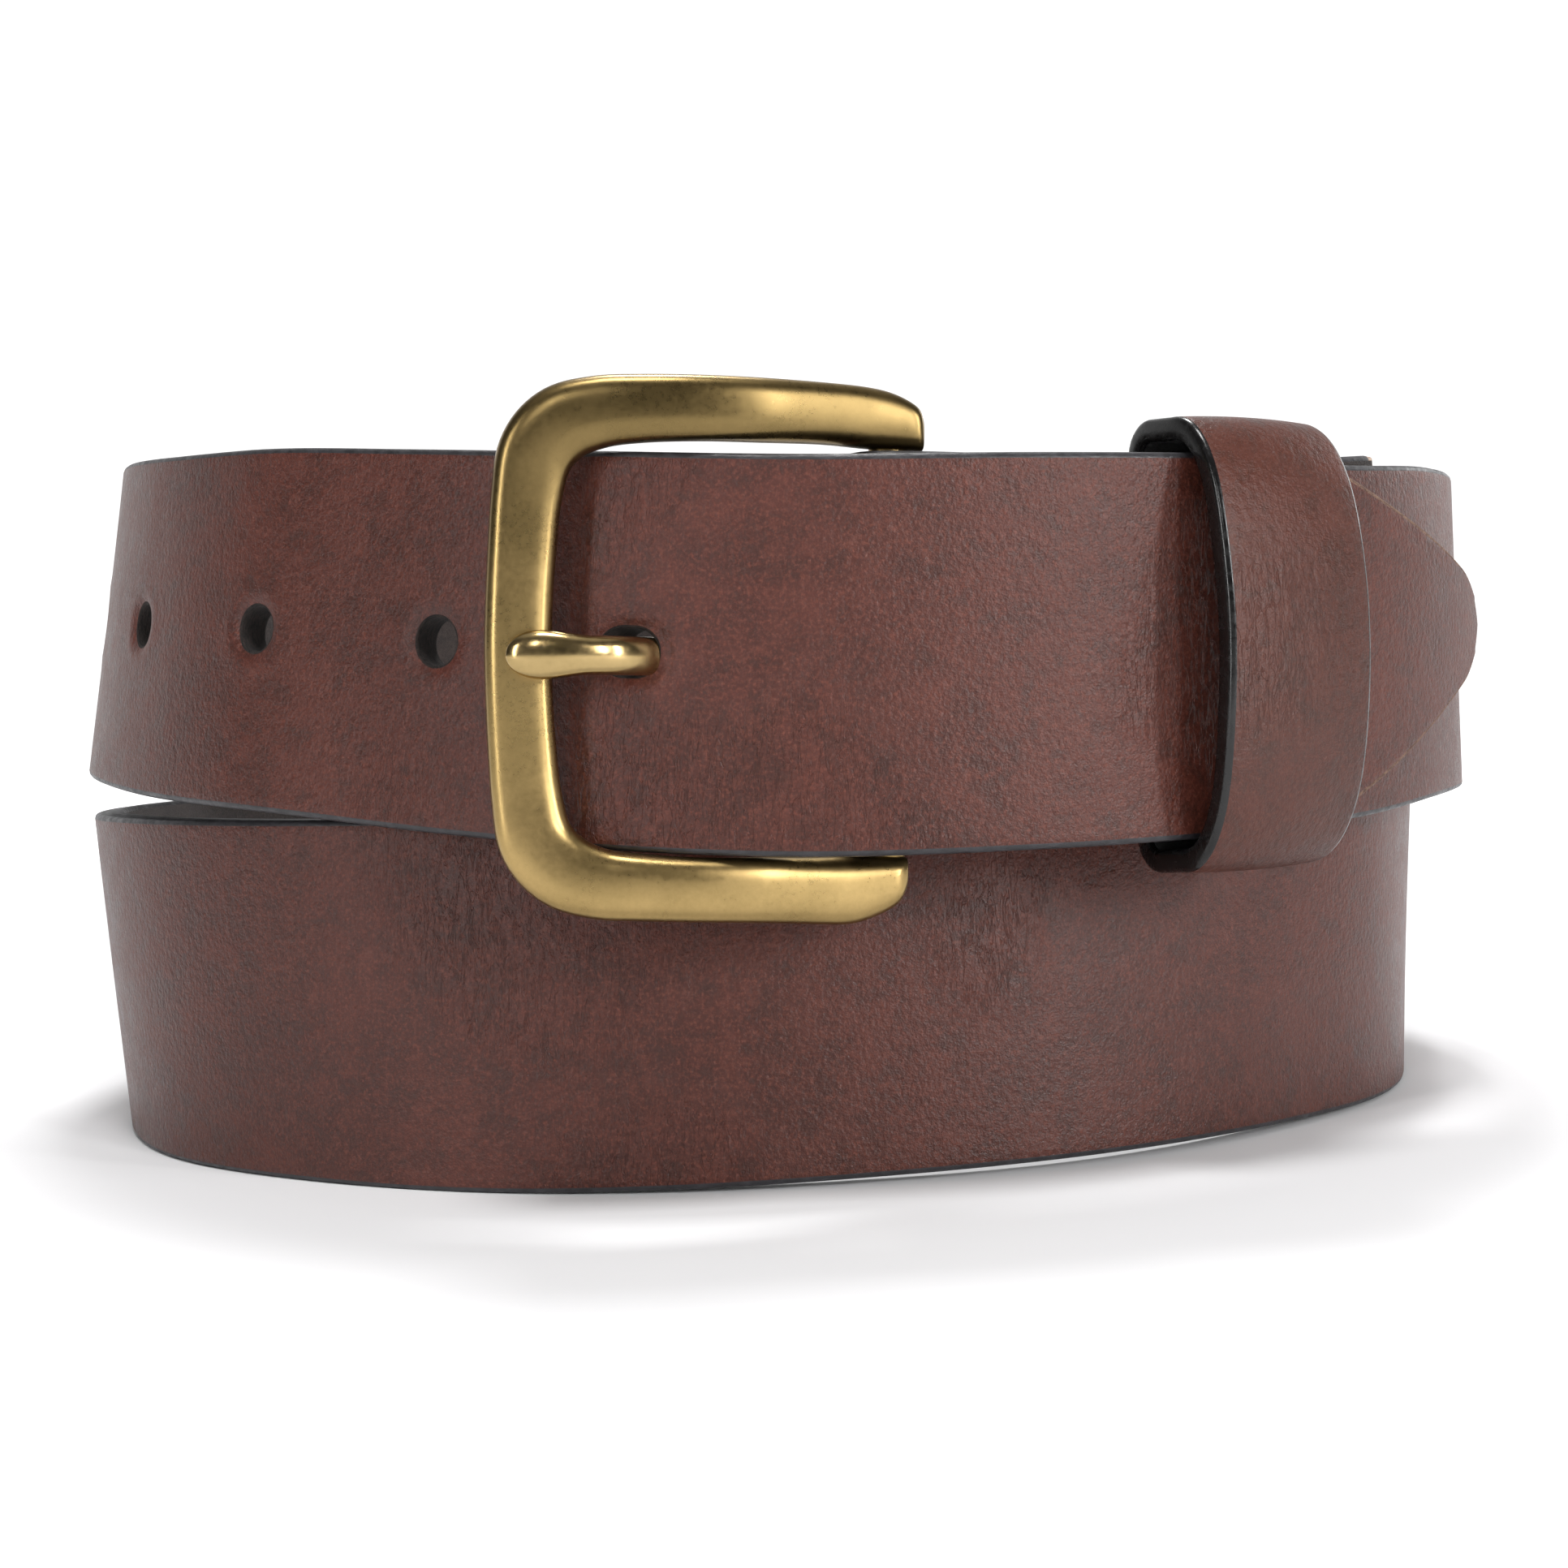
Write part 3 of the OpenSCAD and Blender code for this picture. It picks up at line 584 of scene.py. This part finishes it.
def spline(knots, count):
    """A smooth curve through given knots, one value of t per knot."""
    knots = np.asarray(knots, float)
    t = np.linspace(0, len(knots) - 1, count)
    i = np.minimum(t.astype(int), len(knots) - 2)
    f = (t - i)[:, None]
    p0, p1 = knots[np.maximum(i - 1, 0)], knots[i]
    p2, p3 = knots[i + 1], knots[np.minimum(i + 2, len(knots) - 1)]
    return (2 * p1 + (p2 - p0) * f + (2 * p0 - 5 * p1 + 4 * p2 - p3) * f**2
            + (3 * p1 - p0 - 3 * p2 + p3) * f**3) / 2


def section(half_u, half_v, sides, square=2.5, flat_front=1.0):
    """A soft lozenge: a squared oval, its outer face flattened."""
    g = np.arange(sides) * 2 * np.pi / sides
    c, s = np.cos(g), np.sin(g)
    x = np.sign(c) * np.abs(c) ** (2 / square) * half_u
    y = np.sign(s) * np.abs(s) ** (2 / square) * half_v
    return x, np.where(y > 0, y * flat_front, y)


def buckle():
    """The frame: two side bars, the bowed front bar, and the heel bar between the side bars' ends."""
    drop = 0.3
    # distance from the heel bar, height, distance out, half-width, half-depth
    top = [
        (-3.2, 21.1, 1.0, 1.2, 1.0), (-3.15, 21.25, 1.0, 1.6, 1.5), (-2.5, 21.8, 1.1, 2.15, 2.0),
        (-0.3, 22.35, 1.3, 2.7, 2.2), (2.5, 22.65, 1.75, 2.95, 2.3), (7, 22.85, 2.9, 2.95, 2.3),
        (13, 22.85, 4.3, 3.05, 2.3), (19, 22.85, 4.9, 3.1, 2.3), (24.5, 22.7, 4.8, 3.2, 2.35),
        (28.7, 22.3, 4.4, 3.4, 2.4), (32.2, 21.1, 4.0, 3.65, 2.45), (34.5, 18.4, 3.75, 3.6, 2.4),
        (35.4, 14, 3.6, 3.35, 2.3), (35.8, 9, 3.5, 3.25, 2.3), (36.05, 4.5, 3.5, 3.2, 2.3),
    ]
    # the bottom bar ends a little sooner and deeper than the top bar
    low = [
        (36.05, -4.5, 3.5, 3.2, 2.3), (35.8, -9, 3.5, 3.25, 2.3), (35.35, -14, 3.6, 3.35, 2.3),
        (34.4, -18.3, 3.75, 3.6, 2.4), (32, -21, 4.0, 3.65, 2.45), (28.6, -22.3, 4.4, 3.4, 2.4),
        (24.5, -22.7, 4.8, 3.2, 2.35), (19, -22.95, 4.9, 3.1, 2.3), (13, -23.05, 4.3, 3.15, 2.3),
        (8, -23.2, 3.1, 3.25, 2.3), (4.2, -23.25, 2.2, 3.3, 2.3), (1.6, -22.95, 1.6, 3.0, 2.25),
        (-0.8, -22.4, 1.2, 2.35, 2.0), (-1.75, -21.7, 1.0, 1.6, 1.5), (-1.8, -21.5, 1.0, 1.2, 1.0),
    ]
    knots = top + [(36.15, 0, 3.5, 3.2, 2.3)] + low
    line = spline(knots, 240)
    centre = np.stack([line[:, 0], line[:, 2], line[:, 1] - drop], -1)
    tangent = unit(np.gradient(centre, axis=0))
    rings = []
    for i in range(len(line)):
        d = unit(np.array([tangent[i, 0], 0, tangent[i, 2] * smooth((line[i, 0] - 2) / 8)]))
        side = np.array([d[2], 0, -d[0]])
        x, y = section(line[i, 3], line[i, 4], 48, 3.1, 0.94)
        rings.append(centre[i] + x[:, None] * side + y[:, None] * np.array([0, 1.0, 0]))
    points = np.concatenate(rings)
    faces = skin(rings)
    g = np.arange(40) * 2 * np.pi / 40
    heel = [np.stack([HEEL_R * np.cos(g), HEEL_R * np.sin(g), 0 * g + z], -1) for z in np.linspace(-22, 22, 23)]
    faces += skin(heel, len(points))
    points = np.concatenate([points, *heel])
    return make("buckle", on_heel(points), faces, [brass], [0] * len(faces), None, "buckle", "antique_brass",
                "buckle_frame")


buckle()

# distance from the heel bar, distance out
PRONG = [(2, 0), (9, -0.3), (16.5, -0.3), (20, 0.5), (22.6, 2.7), (25, 5.1), (27.6, 6.8), (31, 7.5),
         (34.2, 7.35), (37.45, 6.85)]


def prong():
    """The prong: a bent shank with a wider, rounded tip, and the closed eye that turns on the heel bar."""
    line = spline(PRONG, 110)
    tangent = unit(np.gradient(line, axis=0))
    x = line[:, 0]
    half = 1.85 + 0.47 * smooth((x - 29.3) / 4.6) - 0.1 * smooth((22 - x) / 6)
    tip = np.clip((x - 33.95) / 3.5, 0, 1)
    # the shank lies in the lower half of the hole
    low = -1.0 * smooth((x - 3) / 14)
    round_off = np.sqrt(np.maximum(0.004, 1 - tip**2.1))
    rings = []
    for i in range(len(line)):
        p, q = section(half[i] * round_off[i], 1.32 * round_off[i] ** 0.8, 32, 2.3, 0.95)
        nrm = np.array([-tangent[i, 1], tangent[i, 0], 0])
        rings.append(np.array([line[i, 0], line[i, 1], low[i]]) + p[:, None] * np.array([0, 0, -1.0])
                     + q[:, None] * nrm)
    points = np.concatenate(rings)
    faces = skin(rings)
    # the eye round the heel bar: a ring with rounded edges
    corner = [(1.96, -1.9), (2.06, -2.1), (2.3, -2.2), (3.05, -2.2), (3.3, -2.08), (3.4, -1.85), (3.4, 0),
              (3.4, 1.85), (3.3, 2.08), (3.05, 2.2), (2.3, 2.2), (2.06, 2.1), (1.96, 1.9), (1.96, 0)]
    n, m, start = 48, len(corner), len(points)
    g = np.arange(n) * 2 * np.pi / n
    eye = [np.array([(r * math.cos(t), r * math.sin(t), z) for r, z in corner]) for t in g]
    for i in range(n):
        for k in range(m):
            a, b, k2 = start + i * m, start + ((i + 1) % n) * m, (k + 1) % m
            faces.append([a + k, b + k, b + k2, a + k2])
    points = np.concatenate([points, *eye])
    return make("prong_bar", on_heel(points), faces, [prong_brass], [0] * len(faces), None, "prong",
                "prong_brass", "prong")


prong()

KEEPER_A, KEEPER_Z, KEEPER_H, KEEPER_W, KEEPER_T = 33.0, 53.2, 45.6, 17.5, 2.3
BACK_R, TOP_R, CROWN_R, CORNER = 76.0, 83.4, 92.6, 3.8
ARCH_POWER = 2.4    # squareness of the arch, 2 is an ellipse
DOME = 0.25         # height of the slight dome across the keeper's width
FLAT_SHIFT = 400    # keeps the keeper's leather apart from the strap's in the flat pattern


def keeper_line(inset):
    """The keeper's outline, inset from its outer face: radius and height, from the seam round to the seam."""
    half = KEEPER_H / 2 - inset
    r = CORNER - inset
    back = BACK_R + inset
    seam = 0.1
    g = np.radians(np.linspace(0, 90, 9))
    flat_z = np.linspace(seam, half - r, 26)
    lower_back = np.stack([np.full(len(flat_z), back), -flat_z], -1)
    corner = np.stack([back + r - r * np.cos(g), -(half - r) - r * np.sin(g)], -1)
    t = np.radians(np.linspace(-90, 90, 90))
    c, s = np.cos(t), np.sin(t)
    arch = np.stack([TOP_R + (CROWN_R - TOP_R - inset) * np.maximum(c, 0) ** (2 / ARCH_POWER),
                     np.sign(s) * half * np.abs(s) ** (2 / ARCH_POWER)], -1)
    upper = np.concatenate([lower_back, corner])[::-1] * np.array([1, -1])
    return np.concatenate([lower_back, corner, arch, upper])


def keeper():
    """The keeper: a band with rounded painted edges, bent to a loop whose ends meet at a seam."""
    outer = keeper_line(0)
    step = np.linalg.norm(np.diff(outer, axis=0), axis=1)
    keep = np.concatenate([[True], step > 1e-6])
    outer = outer[keep]
    inner = keeper_line(KEEPER_T)[keep]
    length = np.concatenate([[0], np.cumsum(np.linalg.norm(np.diff(outer, axis=0), axis=1))])
    # section across the keeper's width: grain face, rounded painted edge, flesh face, painted edge
    hw, e = KEEPER_W / 2, 0.55
    ring = []
    cross = np.linspace(-hw + e, hw - e, 15)
    turns = [(e * math.sin(math.radians(g)), e * (1 - math.cos(math.radians(g)))) for g in (30, 60, 90)]
    ring += [(q, 0.0) for q in cross]
    ring += [(hw - e + q, d) for q, d in turns]
    ring += [(hw - e + q, KEEPER_T - d) for q, d in reversed(turns)]
    ring += [(q, KEEPER_T) for q in cross[::-1]]
    ring += [(-hw + e - q, KEEPER_T - d) for q, d in turns]
    ring += [(-hw + e - q, d) for q, d in reversed(turns)]
    across, edge = len(cross) - 1, 2 * len(turns) + 1
    kind = [GRAIN] * across + [EDGE] * edge + [FLESH] * across + [EDGE] * edge
    ring = np.array(ring)
    n, m = len(ring), len(outer)
    points, flat, faces, kinds = [], [], [], []
    for i in range(m):
        depth = ring[:, 1:] / KEEPER_T
        rz = outer[i] * (1 - depth) + inner[i] * depth
        # the grain face is slightly domed across its width, and its edges wander a little
        dome = DOME * (1 - (ring[:, 0] / hw) ** 2) * (1 - depth[:, 0])
        away = unit(outer[i] - inner[i])
        if outer[i][0] > TOP_R:
            rz = rz + away * (dome - DOME)[:, None]
        q = ring[:, 0] + 0.1 * np.sin(length[i] / 7.0) + 0.06 * np.sin(length[i] / 2.9 + 1)
        ang = np.radians(KEEPER_A - 90) + q / TOP_R
        points.append(np.stack([COIL[0] + rz[:, 0] * np.cos(ang), COIL[1] + rz[:, 0] * np.sin(ang),
                                KEEPER_Z + rz[:, 1]], -1))
        flat.append(np.stack([ring[:, 0] + FLAT_SHIFT, 0 * q + length[i], ring[:, 1]], -1))
    for i in range(m - 1):
        for k in range(n):
            k2 = (k + 1) % n
            faces.append([i * n + k, (i + 1) * n + k, (i + 1) * n + k2, i * n + k2])
            kinds.append(kind[k])
    faces.append(list(range(n)))
    faces.append(list(range((m - 1) * n, m * n))[::-1])
    kinds += [FLESH, FLESH]
    return make("keeper_loop", np.concatenate(points), faces, [keeper_grain, keeper_flesh, keeper_paint], kinds,
                np.concatenate(flat), "keeper", "keeper_leather", "keeper")


keeper()

for node in ("snap_caps", "snap_sockets", "snap_studs", "snap_rivets", "keeper_staples"):
    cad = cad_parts[node]
    cad.data.materials.clear()
    cad.data.materials.append(steel if node == "keeper_staples" else snap_brass)


# ---------------------------------------------------------------- studio
def floor():
    """A white sheet, lit through from below away from the object, as a light table is."""
    data = bpy.data.meshes.new("floor")
    size = 6.0
    data.from_pydata([(-size, -size, 0), (size, -size, 0), (size, size, 0), (-size, size, 0)], [], [(0, 1, 2, 3)])
    m = Nodes("floor_white")
    m.set(Base_Color=(0.88, 0.88, 0.89, 1), Roughness=0.8, Emission_Color=(1, 1, 1, 1))
    far = m.add("ShaderNodeVectorMath", operation="LENGTH")
    m.link(m.place(), far.inputs[0])
    m.link(m.spread(far.outputs["Value"], 0.3, 1.1, 0.0, 0.9), m.shader.inputs["Emission Strength"])
    data.materials.append(m.material)
    obj = bpy.data.objects.new("floor", data)
    obj.location.z = -0.00005
    bpy.context.scene.collection.objects.link(obj)


AIM = (0, 0, 0.04)


def area(name, where, size, power):
    """A rectangular soft light that faces the object."""
    light = bpy.data.lights.new(name, "AREA")
    light.shape = "RECTANGLE"
    light.size, light.size_y = size
    light.energy = power
    obj = bpy.data.objects.new(name, light)
    way = unit(np.array(AIM, float) - np.array(where, float))
    up = np.array([0, 0, 1.0]) if abs(way[2]) < 0.95 else np.array([0, 1.0, 0])
    right = unit(np.cross(way, up))
    up = np.cross(right, way)
    obj.matrix_world = Matrix.Translation(where) @ Matrix(np.stack([right, up, -way], 1).tolist()).to_4x4()
    bpy.context.scene.collection.objects.link(obj)


def sky():
    """White round the horizon and behind the object, dark overhead and in front, as in a studio."""
    world = bpy.data.worlds.new("studio")
    bpy.context.scene.world = world
    world.use_nodes = True
    tree = world.node_tree

    def node(kind, **settings):
        made = tree.nodes.new(kind)
        for key, value in settings.items():
            setattr(made, key, value)
        return made

    def ranged(source, low, high, out_low, out_high):
        made = node("ShaderNodeMapRange", interpolation_type="SMOOTHSTEP")
        tree.links.new(source, made.inputs["Value"])
        for key, v in (("From Min", low), ("From Max", high), ("To Min", out_low), ("To Max", out_high)):
            made.inputs[key].default_value = v
        return made.outputs["Result"]

    split = node("ShaderNodeSeparateXYZ")
    tree.links.new(node("ShaderNodeTexCoord").outputs["Generated"], split.inputs[0])
    rear = ranged(split.outputs["Z"], 0.3, 0.5, 1.12, 0.69)
    front = ranged(split.outputs["Z"], 0.3, 0.5, 0.06, 0.1)
    side = ranged(split.outputs["Y"], 0.15, 0.8, 0.0, 1.0)

    def blend(factor, low, high):
        """Between low and high, where high may be a plain number."""
        made = node("ShaderNodeMix", data_type="FLOAT")
        tree.links.new(factor, made.inputs[0])
        tree.links.new(low, made.inputs[2])
        if isinstance(high, float):
            made.inputs[3].default_value = high
        else:
            tree.links.new(high, made.inputs[3])
        return made.outputs[0]

    strength = blend(ranged(split.outputs["Z"], 0.75, 0.9, 0.0, 1.0), blend(side, front, rear), 0.4)
    tree.nodes["Background"].inputs["Color"].default_value = (1, 1, 1, 1)
    tree.links.new(strength, tree.nodes["Background"].inputs["Strength"])


floor()
sky()
area("left_strip", (-0.72, -0.77, 0.31), (0.10, 0.5), 2.7)
area("left_front", (-0.18, -0.98, 0.52), (0.12, 0.2), 0.9)
area("right_strip", (0.88, -0.60, 0.31), (0.08, 0.5), 4.6)
area("right_front", (0.63, -0.84, 0.36), (0.12, 0.4), 3.0)
area("overhead", (0, -0.35, 1.08), (0.25, 0.25), 5.6)
area("overhead_rear", (0, 0.37, 1.07), (0.25, 0.25), 6.4)
area("right_rim", (0.79, 0.66, 0.42), (0.2, 0.4), 1.0)

camera_data = bpy.data.cameras.new("camera")
camera = bpy.data.objects.new("camera", camera_data)
camera_data.sensor_width = 36
camera_data.lens = 53.51
camera_data.clip_start = 0.01
pitch, roll = math.radians(1.8), math.radians(1.7)
ahead = np.array([0, math.cos(pitch), -math.sin(pitch)])
up0, right0 = np.array([0, math.sin(pitch), math.cos(pitch)]), np.array([1.0, 0, 0])
up1 = up0 * math.cos(roll) + right0 * math.sin(roll)
right1 = right0 * math.cos(roll) - up0 * math.sin(roll)
camera.matrix_world = Matrix.Translation((0.00045, -0.30299, 0.0479)) @ Matrix(
    np.stack([right1, up1, -ahead], 1).tolist()).to_4x4()
bpy.context.scene.collection.objects.link(camera)
bpy.context.scene.camera = camera
bpy.context.scene.view_settings.view_transform = "Standard"
